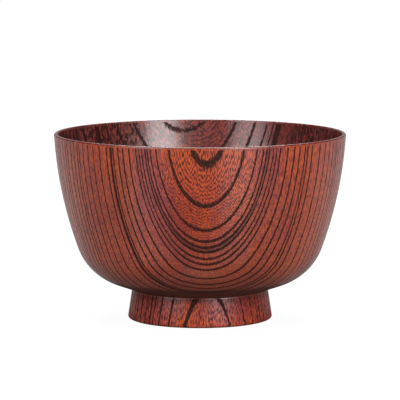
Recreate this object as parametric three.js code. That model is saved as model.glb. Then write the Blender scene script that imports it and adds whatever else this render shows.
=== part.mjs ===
// Soup bowl turned from one block of wood: a thin lip, an almost upright wall, a low round belly
// and a flared foot ring that is hollowed underneath. Millimetres, +Z up, standing on z = 0.
import * as THREE from "three";

// Driving dimensions, in millimetres, with angles in degrees
const RIM_DIAMETER = 115; // over the lip, the widest place
const BOWL_HEIGHT = 73.4; // from the table to the lip
const LIP_THICKNESS = 1.5;
const LIP_EDGE_RADIUS = 0.55; // both edges of the lip

const WALL_LEAN = 3.4; // how far the outer wall leans off upright at the lip
const WALL_TAPER = 2.4; // how much more the inner wall leans, which thickens the wall downwards
const WALL_RADIUS = 158; // long arc of the wall, inside and outside
const BELLY_RADIUS = 22.7; // outer arc between underside and wall
const INNER_BELLY_RADIUS = 26; // inner arc between floor and wall
const UNDERSIDE_SLOPE = 19.5; // rise of the underside, outwards from the foot
const FLOOR_THICKNESS = 4.4; // floor inside, above the top of the foot

const FOOT_HEIGHT = 11.65;
const FOOT_TOP_DIAMETER = 53.8;
const FOOT_BASE_DIAMETER = 57.3;
const FOOT_STEP = 0.3; // narrow ledge left on top of the foot where the underside meets it
const FOOT_EDGE_RADIUS = 0.9; // both edges of the ring that the bowl stands on
const RING_WIDTH = 4;
const RECESS_DEPTH = 8;
const RECESS_CORNER_RADIUS = 3;

const WOOD_COLOUR = "#8f3c24";
const WOOD_ROUGHNESS = 0.38;

// Fineness of the facets
const CHORD_ERROR = 0.04;
const SEGMENTS_AROUND = 64;

const point = (radius, height) => new THREE.Vector2(radius, height);

// Points along an arc of the profile, with angles counted from straight outwards towards up
function arc(centre, radius, from, to) {
  const step = 2 * Math.acos(1 - CHORD_ERROR / radius);
  const steps = Math.ceil(Math.abs(to - from) / step);
  return new THREE.EllipseCurve(
    centre.x, centre.y, radius, radius, from, to, to < from
  ).getPoints(steps);
}

// Arc that rounds the corner between two straight edges of the profile
function roundCorner(before, corner, after, radius) {
  const back = before.clone().sub(corner).normalize();
  const ahead = after.clone().sub(corner).normalize();
  const half = Math.acos(back.dot(ahead)) / 2;
  const middle = back.clone().add(ahead).normalize();
  const centre = corner.clone().addScaledVector(middle, radius / Math.sin(half));
  const reach = radius / Math.tan(half);
  const from = corner.clone().addScaledVector(back, reach).sub(centre).angle();
  const to = corner.clone().addScaledVector(ahead, reach).sub(centre).angle();
  const turn = THREE.MathUtils.euclideanModulo(to - from + Math.PI, 2 * Math.PI) - Math.PI;
  return arc(centre, radius, from, from + turn);
}

// One side of the wall, from its base up to the lip: a straight base, a belly arc and a long wall
// arc, each tangent to the next. The belly is limited to what fits between the base and the wall.
function turnedWall(base, slope, bellyRadius, top, lean) {
  const along = point(Math.cos(slope), Math.sin(slope));
  const above = point(-Math.sin(slope), Math.cos(slope));
  const wallCentre = point(top.x - WALL_RADIUS * Math.cos(lean), top.y + WALL_RADIUS * Math.sin(lean));
  const toBase = base.clone().sub(wallCentre);
  const largest = (WALL_RADIUS ** 2 - toBase.lengthSq()) / (2 * (WALL_RADIUS + toBase.dot(above)));
  const radius = Math.min(bellyRadius, largest);
  const toBelly = toBase.clone().addScaledVector(above, radius);
  const sideways = toBelly.dot(along);
  const run = Math.sqrt(sideways ** 2 - toBelly.lengthSq() + (WALL_RADIUS - radius) ** 2) - sideways;
  toBelly.addScaledVector(along, run);
  const joint = Math.atan2(toBelly.y, toBelly.x);
  const bellyCentre = wallCentre.clone().add(toBelly);
  return [
    base,
    ...arc(bellyCentre, radius, slope - Math.PI / 2, joint),
    ...arc(wallCentre, WALL_RADIUS, joint, -lean).slice(1),
  ];
}

// Foot, from the middle of the recess under the bowl out over the ring and up to the underside
function footProfile() {
  const ceiling = point(0, RECESS_DEPTH);
  const flare = (FOOT_BASE_DIAMETER - FOOT_TOP_DIAMETER) / 2 / FOOT_HEIGHT;
  const ringOutside = point(FOOT_BASE_DIAMETER / 2, 0);
  const ringInside = point(ringOutside.x - RING_WIDTH, 0);
  const recessCorner = point(ringInside.x - flare * RECESS_DEPTH, RECESS_DEPTH);
  const footTop = point(FOOT_TOP_DIAMETER / 2, FOOT_HEIGHT);
  return [
    ceiling,
    ...roundCorner(ceiling, recessCorner, ringInside, RECESS_CORNER_RADIUS),
    ...roundCorner(recessCorner, ringInside, ringOutside, FOOT_EDGE_RADIUS),
    ...roundCorner(ringInside, ringOutside, footTop, FOOT_EDGE_RADIUS),
    footTop,
  ];
}

// Body, from the underside up the outside, over the lip and down the inside to the middle of the floor
function bodyProfile() {
  const lean = THREE.MathUtils.degToRad(WALL_LEAN);
  const innerLean = THREE.MathUtils.degToRad(WALL_LEAN + WALL_TAPER);
  const edge = Math.min(LIP_EDGE_RADIUS, LIP_THICKNESS / 2);
  const outerEdge = point(RIM_DIAMETER / 2 - edge, BOWL_HEIGHT - edge);
  const innerEdge = point(RIM_DIAMETER / 2 - LIP_THICKNESS + edge, outerEdge.y);
  const outsideOfLip = arc(outerEdge, edge, -lean, Math.PI / 2);
  const insideOfLip = arc(innerEdge, edge, Math.PI / 2, Math.PI - innerLean);

  const neck = point(FOOT_TOP_DIAMETER / 2 - FOOT_STEP, FOOT_HEIGHT);
  const slope = THREE.MathUtils.degToRad(UNDERSIDE_SLOPE);
  const outside = turnedWall(neck, slope, BELLY_RADIUS, outsideOfLip.at(0), lean);

  const floor = point(0, FOOT_HEIGHT + FLOOR_THICKNESS);
  const inside = turnedWall(floor, 0, INNER_BELLY_RADIUS, insideOfLip.at(-1), innerLean);

  return [...outside, ...outsideOfLip.slice(1), ...insideOfLip, ...inside.reverse().slice(1)];
}

const lacqueredWood = new THREE.MeshStandardMaterial({
  color: WOOD_COLOUR,
  roughness: WOOD_ROUGHNESS,
  metalness: 0,
});
const profile = [...footProfile(), ...bodyProfile()];
const bowl = new THREE.Mesh(new THREE.LatheGeometry(profile, SEGMENTS_AROUND), lacqueredWood);
bowl.name = "bowl";
bowl.rotation.x = Math.PI / 2; // the lathe turns about Y

const soupBowl = new THREE.Group();
soupBowl.add(bowl);
export default soupBowl;
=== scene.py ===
"""Looks of a turned wooden soup bowl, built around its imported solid. Metres, +Z up."""
from math import acos, ceil, cos, pi, radians, sin, tan

import bmesh
import bpy
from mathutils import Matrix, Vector


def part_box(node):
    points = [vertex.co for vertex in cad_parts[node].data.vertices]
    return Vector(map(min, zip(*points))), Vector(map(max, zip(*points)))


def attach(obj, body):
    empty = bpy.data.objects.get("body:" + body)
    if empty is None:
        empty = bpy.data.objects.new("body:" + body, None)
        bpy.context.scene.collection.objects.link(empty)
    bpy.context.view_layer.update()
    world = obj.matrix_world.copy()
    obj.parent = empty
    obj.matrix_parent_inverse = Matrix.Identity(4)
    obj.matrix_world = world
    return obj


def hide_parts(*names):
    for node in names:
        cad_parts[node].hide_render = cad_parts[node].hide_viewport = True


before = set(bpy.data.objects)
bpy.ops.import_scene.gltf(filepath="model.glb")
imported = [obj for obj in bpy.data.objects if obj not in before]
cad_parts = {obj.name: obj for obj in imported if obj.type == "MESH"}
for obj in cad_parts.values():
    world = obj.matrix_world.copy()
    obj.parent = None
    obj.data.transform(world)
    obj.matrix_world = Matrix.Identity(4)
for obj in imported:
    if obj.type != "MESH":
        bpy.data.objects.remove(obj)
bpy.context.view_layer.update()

# Bowl
# One block of ring-porous hardwood with the tree's heart line nearly upright, in front of the bowl.
# It is turned to a thin lip, an upright wall, a round belly and a hollowed foot ring, then red-brown
# lacquer is wiped on and rubbed off, so it stays dark in the open pores of each year's growth.
MM = 0.001
TURNING_STEPS = 256
SMOOTHNESS = 0.008 * MM
MERGE_DISTANCE = 0.002 * MM

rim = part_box("bowl")[1][0]
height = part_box("bowl")[1][2]

# Corners of the turner's template as radius, height and rounding, from under the foot to the inside
template_corners = [
    (0.0, 8.0 * MM, 0.0),  # middle of the recess
    (23.45 * MM, 8.0 * MM, 3.0 * MM),  # corner of the recess
    (24.65 * MM, 0.0, 0.9 * MM),  # inner edge of the foot ring
    (28.65 * MM, 0.0, 0.9 * MM),  # outer edge of the foot ring
    (26.9 * MM, 11.65 * MM, 0.24 * MM),  # ledge on top of the foot
    (26.6 * MM, 11.65 * MM, 0.05 * MM),  # neck
    (44.55 * MM, 18.01 * MM, 22.7 * MM),  # belly
    (56.13 * MM, 49.76 * MM, 157.0 * MM),  # wall
    (rim + 0.03 * MM, height, 0.55 * MM),  # outer edge of the lip
    (rim - 1.45 * MM, height, 0.3 * MM),  # inner edge of the lip
    (53.9 * MM, 52.24 * MM, 157.0 * MM),  # wall inside
    (40.17 * MM, 16.05 * MM, 26.0 * MM),  # belly inside
    (0.0, 16.05 * MM, 0.0),  # middle of the floor
]

shape = bmesh.new()


def cut_straight(start, end_point):
    """Straight stretch of the template, from its last point to the next one."""
    end = shape.verts.new(end_point)
    shape.edges.new((start, end))
    return end


def cut_round(start, centre, axis, turn, radius):
    """Round stretch of the template, swung about its centre."""
    steps = ceil(turn / (2 * acos(1 - SMOOTHNESS / radius)))
    swung = bmesh.ops.spin(
        shape, geom=[start], cent=centre, axis=axis, angle=turn, steps=steps, use_merge=False
    )
    return next(item for item in swung["geom_last"] if isinstance(item, bmesh.types.BMVert))


corner_points = [Vector((radius, 0, z)) for radius, z, rounding in template_corners]
roundings = [rounding for radius, z, rounding in template_corners]
last = shape.verts.new(corner_points[0])
for before, corner, after, rounding in zip(
    corner_points, corner_points[1:], corner_points[2:], roundings[1:]
):
    back = (before - corner).normalized()
    ahead = (after - corner).normalized()
    half = back.angle(ahead) / 2
    centre = corner + (back + ahead).normalized() * rounding / sin(half)
    last = cut_straight(last, corner + back * rounding / tan(half))
    last = cut_round(last, centre, ahead.cross(back), pi - 2 * half, rounding)
cut_straight(last, corner_points[-1])

bmesh.ops.spin(
    shape, geom=shape.verts[:] + shape.edges[:], cent=(0, 0, 0), axis=(0, 0, 1),
    angle=2 * pi, steps=TURNING_STEPS, use_merge=True,
)
bmesh.ops.remove_doubles(shape, verts=shape.verts[:], dist=MERGE_DISTANCE)
bmesh.ops.recalc_face_normals(shape, faces=shape.faces[:])
shape.normal_update()
for face in shape.faces:
    face.smooth = True

# Further coats of lacquer: all of them inside and on top of the lip, most on the lip's outer edge
FACES_OUTWARDS = 0.2
LIP_EDGE_COATS = 0.8
inside_bottom = template_corners[-1][1] - 0.1 * MM
lip_edge_bottom = height - 0.5 * MM
further_coats = shape.verts.layers.float.new("further_coats")
for vert in shape.verts:
    outwards = Vector((vert.co.x, vert.co.y, 0)).normalized()
    if vert.co.z > inside_bottom and vert.normal.dot(outwards) < FACES_OUTWARDS:
        vert[further_coats] = 1.0
    elif vert.co.z > lip_edge_bottom:
        vert[further_coats] = LIP_EDGE_COATS

bowl_mesh = bpy.data.meshes.new("turned_bowl")
shape.to_mesh(bowl_mesh)
shape.free()
bowl = bpy.data.objects.new("turned_bowl", bowl_mesh)
bpy.context.scene.collection.objects.link(bowl)


def paint(hex_colour):
    """Linear colour of a written screen colour."""
    parts = [int(hex_colour[i:i + 2], 16) / 255 for i in (1, 3, 5)]
    linear = [p / 12.92 if p <= 0.04045 else ((p + 0.055) / 1.055) ** 2.4 for p in parts]
    return (*linear, 1.0)


def wire(tree, socket, value):
    """Links another node's output to a socket, or sets the socket's own value."""
    if isinstance(value, bpy.types.NodeSocket):
        tree.links.new(value, socket)
    else:
        socket.default_value = value


def calc(tree, operation, *values):
    """Sum on one to three values."""
    node = tree.nodes.new("ShaderNodeMath")
    node.operation = operation
    for socket, value in zip(node.inputs, values):
        wire(tree, socket, value)
    return node.outputs[0]


def times(tree, first, *others):
    """All values multiplied together."""
    product = first
    for other in others:
        product = calc(tree, "MULTIPLY", product, other)
    return product


def largest(tree, first, *others):
    """Largest of the values."""
    most = first
    for other in others:
        most = calc(tree, "MAXIMUM", most, other)
    return most


def sloped(tree, value, slope, base):
    """Value times a slope, on top of a base."""
    return calc(tree, "MULTIPLY_ADD", value, slope, base)


def rest_of(tree, value):
    """What a value leaves of 1."""
    return calc(tree, "SUBTRACT", 1.0, value)


def fade(tree, value, start, end, low=0.0, high=1.0, smooth=True):
    """Change from low to high while the value goes from start to end."""
    node = tree.nodes.new("ShaderNodeMapRange")
    node.interpolation_type = "SMOOTHSTEP" if smooth else "LINEAR"
    for socket, given in zip(node.inputs, (value, start, end, low, high)):
        wire(tree, socket, given)
    return node.outputs[0]


def band(tree, value, start, full, still_full, end):
    """Rise from 0 to 1 between start and full, and fall back between still_full and end."""
    return times(tree, fade(tree, value, start, full), fade(tree, value, still_full, end, 1.0, 0.0))


def read_off(tree, value, points):
    """Value read off a curve of straight stretches, which stays level past both ends."""
    node = tree.nodes.new("ShaderNodeFloatCurve")
    mapping = node.mapping
    heights = [y for x, y in points]
    mapping.clip_max_x = points[-1][0]
    mapping.clip_max_y = max(heights) + 0.01
    mapping.clip_min_x = points[0][0]
    mapping.clip_min_y = min(heights)
    mapping.extend = "HORIZONTAL"
    knots = mapping.curves[0].points
    knots[0].location = points[0]
    knots[-1].location = points[-1]
    for point in points[1:-1]:
        knots.new(*point)
    for knot in knots:
        knot.handle_type = "VECTOR"
    mapping.update()
    wire(tree, node.inputs["Value"], value)
    return node.outputs[0]


def stretched_noise(tree, place, scale, detail):
    """Cloudy value around 0.5 with its own scale along each axis of a place in millimetres."""
    stretch = tree.nodes.new("ShaderNodeMapping")
    stretch.inputs["Scale"].default_value = scale
    wire(tree, stretch.inputs["Vector"], place)
    noise = tree.nodes.new("ShaderNodeTexNoise")
    noise.inputs["Scale"].default_value = 1.0
    noise.inputs["Detail"].default_value = detail
    wire(tree, noise.inputs["Vector"], stretch.outputs[0])
    return noise.outputs[0]


def mixed(tree, amount, first, second):
    """Colour between two colours."""
    node = tree.nodes.new("ShaderNodeMix")
    node.data_type = "RGBA"
    wire(tree, node.inputs["Factor"], amount)
    wire(tree, node.inputs["A"], first)
    wire(tree, node.inputs["B"], second)
    return node.outputs["Result"]


# Growth rings, as distance of the pore line from the heart and width of the line, in millimetres,
# for the front of the block, its middle and its back
DARK_STREAK = (124.3, 1.05)
front_rings = [
    (101.5, 0.36),
    (104.39, 0.3),
    (106.73, 0.33),
    (108.98, 0.33),
    (110.27, 0.32),
    (111.0, 0.36),
    (111.6, 0.36),
    (112.54, 0.32),
    (113.34, 0.36),
    (114.32, 0.42),
    (116.63, 0.46),
    (118.95, 0.48),
    (120.95, 0.46),
    (123.2, 0.44),
    DARK_STREAK,
    (126.35, 0.5),
    (130.2, 0.5),
    (133.9, 0.48),
    (137.3, 0.48),
    (140.35, 0.48),
    (142.8, 0.42),
    (144.3, 0.55),
    (146.6, 0.48),
]
middle_rings = [(149.3 + 2.63 * k + 0.5 * sin(1.9 * k), 0.52) for k in range(21)]
back_rings = [
    (207.05, 0.85),
    (208.35, 0.16),
    (209.75, 0.22),
    (212.1, 0.26),
    (214.95, 0.24),
    (217.6, 0.14),
    (220.4, 0.4),
]
heart = (4.8, -161.3)
heart_lean = 0.028
orange_wood = paint("#c75324")
crimson_wood = paint("#9c3a36")
vessel_brown = paint("#4c170d")
pore_black = paint("#281d1a")
# Dark red-brown for thick lacquer, also used as painted shade on top of the foot
dark_lacquer_and_shade = paint("#2b0709")
# Dark grey-brown painted shade for the neck above the foot
neck_painted_shade = paint("#54463f")
# Light pinkish colour of a painted highlight along the ledge on top of the foot
ledge_painted_highlight = paint("#a8574a")

wood = bpy.data.materials.new("wiped_lacquer_on_ring_porous_wood")
wood.use_nodes = True
grain = wood.node_tree
finish = grain.nodes["Principled BSDF"]

# Places in the block and on the bowl, in millimetres
coordinates = grain.nodes.new("ShaderNodeTexCoord")
block = grain.nodes.new("ShaderNodeMapping")
block.inputs["Scale"].default_value = (1 / MM, 1 / MM, 1 / MM)
block.inputs["Rotation"].default_value = (0, -heart_lean, 0)
block.inputs["Location"].default_value = (-heart[0], -heart[1], 0)
wire(grain, block.inputs["Vector"], coordinates.outputs["Object"])
in_block = block.outputs[0]
split = grain.nodes.new("ShaderNodeSeparateXYZ")
wire(grain, split.inputs[0], in_block)
across, deep, along = split.outputs
to_side = calc(grain, "ABSOLUTE", across)
squares = calc(grain, "ADD", times(grain, across, across), times(grain, deep, deep))
from_heart = calc(grain, "SQRT", squares)
sideways = calc(grain, "DIVIDE", across, from_heart)

stand = grain.nodes.new("ShaderNodeSeparateXYZ")
wire(grain, stand.inputs[0], coordinates.outputs["Object"])
above_table = times(grain, stand.outputs["Z"], 1 / MM)
below_ledge = calc(grain, "LESS_THAN", above_table, 11.6)
on_foot = fade(grain, above_table, 10.7, 11.3, 1.0, 0.0)
off_lip = fade(grain, above_table, 72.2, 72.8, 1.0, 0.15)

coats = grain.nodes.new("ShaderNodeAttribute")
coats.attribute_name = "further_coats"
coated = coats.outputs["Fac"]
inside = fade(grain, coated, 0.3, 0.9)

# Rings drift away from true circles at the sides and near the root, and their lines are ragged
drift = times(grain, sideways, fade(grain, from_heart, 108.0, 133.0, 0.0, 12.5, smooth=False))
root_bend = read_off(grain, along, [(0.0, -0.9), (11.0, -1.3), (20.0, 0.0)])
right_bend = fade(grain, sideways, 0.2, 0.33, 0.0, 1.3)
wander = calc(grain, "SUBTRACT", stretched_noise(grain, in_block, (0.09, 0.09, 0.05), 1.0), 0.5)
ragged = calc(grain, "SUBTRACT", stretched_noise(grain, in_block, (2.8, 2.8, 0.7), 1.0), 0.5)
ring_place = calc(grain, "ADD", calc(grain, "SUBTRACT", from_heart, drift), root_bend)
ring_place = calc(grain, "ADD", ring_place, right_bend)
ring_place = sloped(grain, wander, 0.12, ring_place)
ring_place = sloped(grain, ragged, sloped(grain, coated, 0.2, 0.3), ring_place)

# Rings are counted on two curves over the distance from the heart, which they take in decimetres
DECIMETRES = 0.01
STEP_AHEAD = 0.1
FEWEST_RINGS_PER_MM = 0.2


def count_rings(tree, place):
    """Rings passed on the way out from the heart, with the part of the last one."""
    far_rings = [front_rings[-1]] + middle_rings + back_rings
    near = [(ring[0] * DECIMETRES, float(count)) for count, ring in enumerate(front_rings)]
    far = [(ring[0] * DECIMETRES, float(count)) for count, ring in enumerate(far_rings)]
    distance = times(tree, place, DECIMETRES)
    return calc(tree, "ADD", read_off(tree, distance, near), read_off(tree, distance, far))


rings_passed = count_rings(grain, ring_place)
just_ahead = count_rings(grain, calc(grain, "ADD", ring_place, STEP_AHEAD))
rings_per_mm = times(grain, calc(grain, "SUBTRACT", just_ahead, rings_passed), 1 / STEP_AHEAD)
nearest_ring = calc(grain, "ROUND", rings_passed)
off_ring = calc(grain, "ABSOLUTE", calc(grain, "SUBTRACT", rings_passed, nearest_ring))
from_line = calc(grain, "DIVIDE", off_ring, largest(grain, rings_per_mm, FEWEST_RINGS_PER_MM))

# Pore lines, slimmer at the right of the dark streak and of the foot and at the sides of the close rings
all_rings = front_rings + middle_rings + back_rings
ring_widths = [(float(count), ring[1]) for count, ring in enumerate(all_rings)]
on_streak = calc(grain, "COMPARE", nearest_ring, float(front_rings.index(DARK_STREAK)), 0.5)
slim_streak = times(grain, on_streak, fade(grain, sideways, -0.02, 0.1, 0.0, 0.5))
close_rings = band(grain, ring_place, 107.0, 110.0, 113.0, 117.0)
slim_sides = times(grain, close_rings, fade(grain, to_side, 6.0, 16.0, 0.0, 0.22))
slim_foot = times(grain, below_ledge, fade(grain, sideways, -0.03, 0.06, 0.0, 0.45))
line_width = read_off(grain, nearest_ring, ring_widths)
for slimmer in (slim_streak, slim_sides, slim_foot):
    line_width = times(grain, line_width, rest_of(grain, slimmer))
line_width = times(grain, line_width, sloped(grain, inside, 0.4, 1.0))
line_core = times(grain, line_width, sloped(grain, inside, 0.05, 0.4))
line_edge = times(grain, line_width, sloped(grain, inside, 0.1, 0.7))
line_zone = fade(grain, from_line, line_core, line_edge, 1.0, 0.0)
pore_noise = stretched_noise(grain, in_block, (3.5, 3.5, 0.6), 0.0)
line = times(grain, line_zone, fade(grain, pore_noise, 0.38, 0.58, 0.85, 1.0))

# Ends of the inside, where the wall runs along the rings and lays long vessels open
at_ends = times(grain, inside, fade(grain, to_side, 24.0, 36.0))
at_right_end = times(grain, inside, fade(grain, across, 24.0, 36.0))
speckle_noise = stretched_noise(grain, in_block, (1.3, 0.9, 0.4), 1.0)
speckle = fade(grain, speckle_noise, 0.49, 0.54, 0.0, 0.85)
line = times(grain, line, sloped(grain, at_right_end, -0.5, 1.0))
line = largest(grain, line, times(grain, at_ends, speckle))
line = times(grain, line, off_lip)

# Fine vessels: thin tubes along the trunk, which the wall cuts into short stitches in rows by ring
ROW_SPACING = 0.27
stagger = stretched_noise(grain, in_block, (2.6, 0.5, 0.12), 0.0)
row_phase = sloped(grain, stagger, 0.38, from_heart)
rows = calc(grain, "SINE", times(grain, row_phase, 2 * pi / ROW_SPACING))
rows = times(grain, rows, fade(grain, to_side, 14.0, 34.0, 0.26, 0.02))
rows = times(grain, rows, sloped(grain, on_foot, -0.85, 1.0))
tubes = stretched_noise(grain, in_block, (3.1, 3.2, 0.4), 0.0)
by_ring = grain.nodes.new("ShaderNodeCombineXYZ")
for socket, value in zip(by_ring.inputs, (across, from_heart, along)):
    wire(grain, socket, value)
layers = stretched_noise(grain, by_ring.outputs[0], (0.6, 4.5, 0.3), 0.0)
inside_layers = times(grain, inside, calc(grain, "SUBTRACT", layers, 0.42))
gathered = calc(grain, "ADD", inside_layers, calc(grain, "ADD", rows, tubes))
vessels = fade(grain, gathered, 0.5, 0.61)

# Vessels run together between two of the close rings
smeared = band(grain, ring_place, 110.85, 111.0, 111.6, 111.75)
vessels = largest(grain, vessels, times(grain, smeared, 0.7))

# Wood between the lines: orange and crimson in broad clouds and in streaks along the trunk
clouds = stretched_noise(grain, in_block, (0.06, 0.06, 0.02), 2.0)
streaks = stretched_noise(grain, in_block, (2.2, 1.7, 0.28), 1.0)
up_foot = fade(grain, above_table, 2.0, 7.0, 0.4, 1.0)
redder = largest(grain, inside, times(grain, on_foot, up_foot))
to_flanks = fade(grain, to_side, 10.0, 40.0, 0.21, 0.28)
redness = sloped(grain, redder, 0.25, sloped(grain, clouds, 0.6, to_flanks))
redness = sloped(grain, close_rings, fade(grain, to_side, 5.0, 17.0, 0.02, 0.24), redness)
redness = sloped(grain, streaks, 1.2, redness)
plain_wood = mixed(grain, fade(grain, redness, 1.02, 1.4), orange_wood, crimson_wood)

VESSEL_DEPTH = 0.92
deepest = times(grain, largest(grain, inside, on_foot), VESSEL_DEPTH)
depth = largest(grain, fade(grain, to_side, 12.0, 34.0, VESSEL_DEPTH, 0.62), deepest)
fine_wood = mixed(grain, times(grain, vessels, depth), plain_wood, vessel_brown)
lined_wood = mixed(grain, times(grain, line, 0.98), fine_wood, pore_black)

# Lacquer is thicker inside, on the lip and at the left side. The top of the foot is darkened as painted
# shade under the belly, the neck above the foot is painted shade, and the ledge has a painted highlight
# The neck above the foot takes a painted shade and a duller finish
in_neck = times(grain, band(grain, above_table, 11.5, 11.7, 15.4, 17.4), rest_of(grain, inside))
# Painted shade: the top of the foot darkens towards the belly above it
foot_top_painted_shade = times(grain, below_ledge, fade(grain, above_table, 8.4, 11.2, 0.0, 0.42))
left_side = band(grain, sideways, -0.2, -0.26, -0.3, -0.36)
left_cloud = times(grain, left_side, fade(grain, above_table, 30.0, 46.0, 0.0, 0.2))
# Thick lacquer inside, on the lip and at the left side, with the painted shade on top of the foot
thick_lacquer_and_shade = largest(grain, times(grain, coated, 0.4), left_cloud, foot_top_painted_shade)
coated_and_shaded_wood = mixed(grain, thick_lacquer_and_shade, lined_wood, dark_lacquer_and_shade)
# Painted highlight: a light line along the ledge on top of the foot
on_ledge = band(grain, above_table, 11.25, 11.45, 11.55, 11.7)
edged_wood = mixed(grain, times(grain, on_ledge, 0.6), coated_and_shaded_wood, ledge_painted_highlight)
necked_wood = mixed(grain, times(grain, in_neck, 0.76), edged_wood, neck_painted_shade)
wire(grain, finish.inputs["Base Color"], necked_wood)

# Shine: satin on the rubbed lacquer, dull on the foot, in the neck and in open pores
unfilled = times(grain, off_lip, sloped(grain, inside, -0.3, 0.4))
open_pores = largest(grain, line, times(grain, vessels, unfilled))
dull = largest(grain, times(grain, on_foot, 0.56), times(grain, in_neck, 0.85))
rubbed_lip = fade(grain, above_table, 72.9, 73.2, 0.0, 0.5)
sheen_left = rest_of(grain, largest(grain, dull, rubbed_lip))
pore_sheen = fade(grain, open_pores, 0.0, 1.0, 0.5, 0.05)
rubbed = sloped(grain, dull, 0.16, 0.28)
smooth_coat = sloped(grain, coated, -0.05, rubbed)
finish.inputs["IOR"].default_value = 1.75
wire(grain, finish.inputs["Specular IOR Level"], times(grain, sheen_left, pore_sheen))
wire(grain, finish.inputs["Roughness"], sloped(grain, open_pores, 0.2, smooth_coat))
relief = grain.nodes.new("ShaderNodeBump")
relief.inputs["Strength"].default_value = 0.4
relief.inputs["Distance"].default_value = 0.05 * MM
relief.invert = True
wire(grain, relief.inputs["Height"], open_pores)
wire(grain, finish.inputs["Normal"], relief.outputs[0])

bowl_mesh.materials.append(wood)
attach(bowl, "root")
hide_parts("bowl")

# Table
# Wide sheet of polished acrylic that the bowl stands on, seen up to the edge of every view.
# To the camera it is white, shaded around the bowl by a painted shadow and a faint cast one; the lacquer
# mirrors its dark polish.
FLOOR_RADIUS = 12.0
table_shape = bmesh.new()
bmesh.ops.create_circle(table_shape, cap_ends=True, segments=64, radius=FLOOR_RADIUS)
table_mesh = bpy.data.meshes.new("table_sheet")
table_shape.to_mesh(table_mesh)
table_shape.free()
table_sheet = bpy.data.objects.new("table_sheet", table_mesh)
bpy.context.scene.collection.objects.link(table_sheet)


def grey(level):
    """Linear grey."""
    return (level, level, level, 1.0)


acrylic = bpy.data.materials.new("white_acrylic")
acrylic.use_nodes = True
sheet = acrylic.node_tree
white = sheet.nodes["Principled BSDF"]
white.inputs["Base Color"].default_value = grey(0.06)
white.inputs["Roughness"].default_value = 0.9
white.inputs["Specular IOR Level"].default_value = 0.0
white.inputs["Emission Color"].default_value = grey(1.0)

table_place = sheet.nodes.new("ShaderNodeTexCoord")
table_split = sheet.nodes.new("ShaderNodeSeparateXYZ")
wire(sheet, table_split.inputs[0], table_place.outputs["Object"])
to_right = table_split.outputs["X"]
to_back = table_split.outputs["Y"]
from_bowl = sheet.nodes.new("ShaderNodeVectorMath")
from_bowl.operation = "LENGTH"
wire(sheet, from_bowl.inputs[0], table_place.outputs["Object"])
# Painted shadow: the sheet glows a little less within 0.4 m of the bowl
glow_with_painted_shadow = fade(sheet, from_bowl.outputs["Value"], 0.1, 0.4, 0.95, 1.0)
wire(sheet, white.inputs["Emission Strength"], glow_with_painted_shadow)

# Painted reflection that the lacquer mirrors: a dark patch in front of the bowl in place of a black
# card, and the sheet, paler behind the bowl
sheet_rays = sheet.nodes.new("ShaderNodeLightPath")
beside = calc(sheet, "ABSOLUTE", to_right)
in_front = fade(sheet, to_back, -0.1, -0.06, 1.0, 0.0)
painted_dark_card = times(sheet, in_front, fade(sheet, beside, 0.04, 0.12, 1.0, 0.0))
pale = mixed(sheet, fade(sheet, to_back, -0.05, 0.1), grey(0.24), grey(0.5))
mirrored = mixed(sheet, painted_dark_card, pale, grey(0.03))
matte = sheet.nodes.new("ShaderNodeBsdfDiffuse")
wire(sheet, matte.inputs["Color"],
     mixed(sheet, sheet_rays.outputs["Is Glossy Ray"], grey(0.012), mirrored))
polish = sheet.nodes.new("ShaderNodeBsdfGlossy")
polish.inputs["Roughness"].default_value = 0.12
wire(sheet, polish.inputs["Color"],
     mixed(sheet, fade(sheet, to_back, -0.05, 0.0), grey(0.15), grey(0.0)))
polished = sheet.nodes.new("ShaderNodeAddShader")
wire(sheet, polished.inputs[0], matte.outputs[0])
wire(sheet, polished.inputs[1], polish.outputs[0])

sheet_mix = sheet.nodes.new("ShaderNodeMixShader")
wire(sheet, sheet_mix.inputs[0], sheet_rays.outputs["Is Camera Ray"])
wire(sheet, sheet_mix.inputs[1], polished.outputs[0])
wire(sheet, sheet_mix.inputs[2], white.outputs[0])
wire(sheet, sheet.nodes["Material Output"].inputs["Surface"], sheet_mix.outputs[0])
table_mesh.materials.append(acrylic)

# Studio light
# Soft boxes in front at the left and right, each with an apron below it, two weak ones that fill in,
# two from above, and one from behind that lights the lip. The room is dim, with a pale backdrop.
ROOM_STRENGTH = 0.12
BACKDROP_STRENGTH = 0.25
LAMP_DISTANCE = 1.2

room = bpy.data.worlds.new("studio_room")
bpy.context.scene.world = room
room.use_nodes = True
air = room.node_tree
backdrop = air.nodes["Background"]
backdrop.inputs["Color"].default_value = grey(1.0)
room_rays = air.nodes.new("ShaderNodeLightPath")
towards = air.nodes.new("ShaderNodeTexCoord")
towards_split = air.nodes.new("ShaderNodeSeparateXYZ")
wire(air, towards_split.inputs[0], towards.outputs["Generated"])
behind = fade(air, towards_split.outputs["Y"], 0.3, 0.95)
low = fade(air, towards_split.outputs["Z"], 0.2, 0.5, 1.0, 0.0)
room_light = sloped(air, times(air, behind, low), BACKDROP_STRENGTH, ROOM_STRENGTH)
wire(air, backdrop.inputs["Strength"], largest(air, room_rays.outputs["Is Camera Ray"], room_light))

bowl_middle = Vector((0, 0, 0.04))


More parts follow.
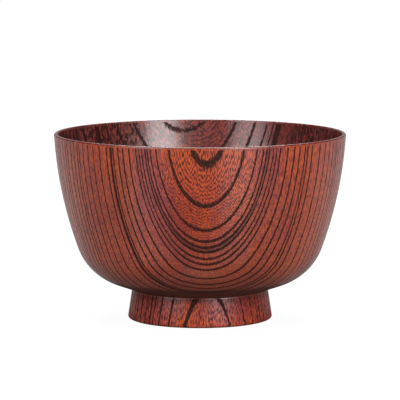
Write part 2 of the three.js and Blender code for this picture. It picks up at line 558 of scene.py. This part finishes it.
def soft_box(name, azimuth, elevation, width, tall, power, distance=LAMP_DISTANCE):
    """Soft light turned towards the bowl; azimuth is to the right of the camera."""
    lamp = bpy.data.lights.new(name, "AREA")
    lamp.shape = "RECTANGLE"
    lamp.size = width
    lamp.size_y = tall
    lamp.energy = power
    box = bpy.data.objects.new(name, lamp)
    turn = radians(azimuth)
    lift = radians(elevation)
    way = Vector((sin(turn) * cos(lift), -cos(turn) * cos(lift), sin(lift)))
    box.location = bowl_middle + distance * way
    box.rotation_euler = (-way).to_track_quat("-Z", "Y").to_euler()
    bpy.context.scene.collection.objects.link(box)


soft_box("right_soft_box", azimuth=33, elevation=30, width=0.56, tall=0.56, power=6.7)
soft_box("right_apron", azimuth=33, elevation=12, width=0.56, tall=0.34, power=3.6)
soft_box("right_fill", azimuth=59, elevation=22, width=0.44, tall=0.5, power=0.6)
soft_box("left_soft_box", azimuth=-46, elevation=30, width=0.7, tall=0.56, power=5.9)
soft_box("left_apron", azimuth=-43, elevation=12, width=0.64, tall=0.34, power=1.6)
soft_box("front_card", azimuth=0, elevation=11, width=0.4, tall=0.3, power=0.13, distance=1.0)
soft_box("high_soft_box", azimuth=0, elevation=52, width=0.5, tall=0.4, power=1.8)
soft_box("top_soft_box", azimuth=0, elevation=75, width=0.5, tall=0.5, power=2.0)
soft_box("rim_soft_box", azimuth=180, elevation=47, width=0.6, tall=0.34, power=12)

# Camera
# Stands in front of the bowl with a long lens, above the height of the lip, so that it looks
# slightly down into the bowl.
CAMERA_DISTANCE = 1.1272
CAMERA_HEIGHT = 0.184
LOOKS_DOWN = radians(6.943)
LENS = 258.5
SENSOR_WIDTH = 36.0

camera_data = bpy.data.cameras.new("camera")
camera_data.lens = LENS
camera_data.sensor_width = SENSOR_WIDTH
camera = bpy.data.objects.new("camera", camera_data)
camera.location = (0, -CAMERA_DISTANCE, CAMERA_HEIGHT)
camera.rotation_euler = (pi / 2 - LOOKS_DOWN, 0, 0)
bpy.context.scene.collection.objects.link(camera)
bpy.context.scene.camera = camera
bpy.context.scene.view_settings.view_transform = "Standard"
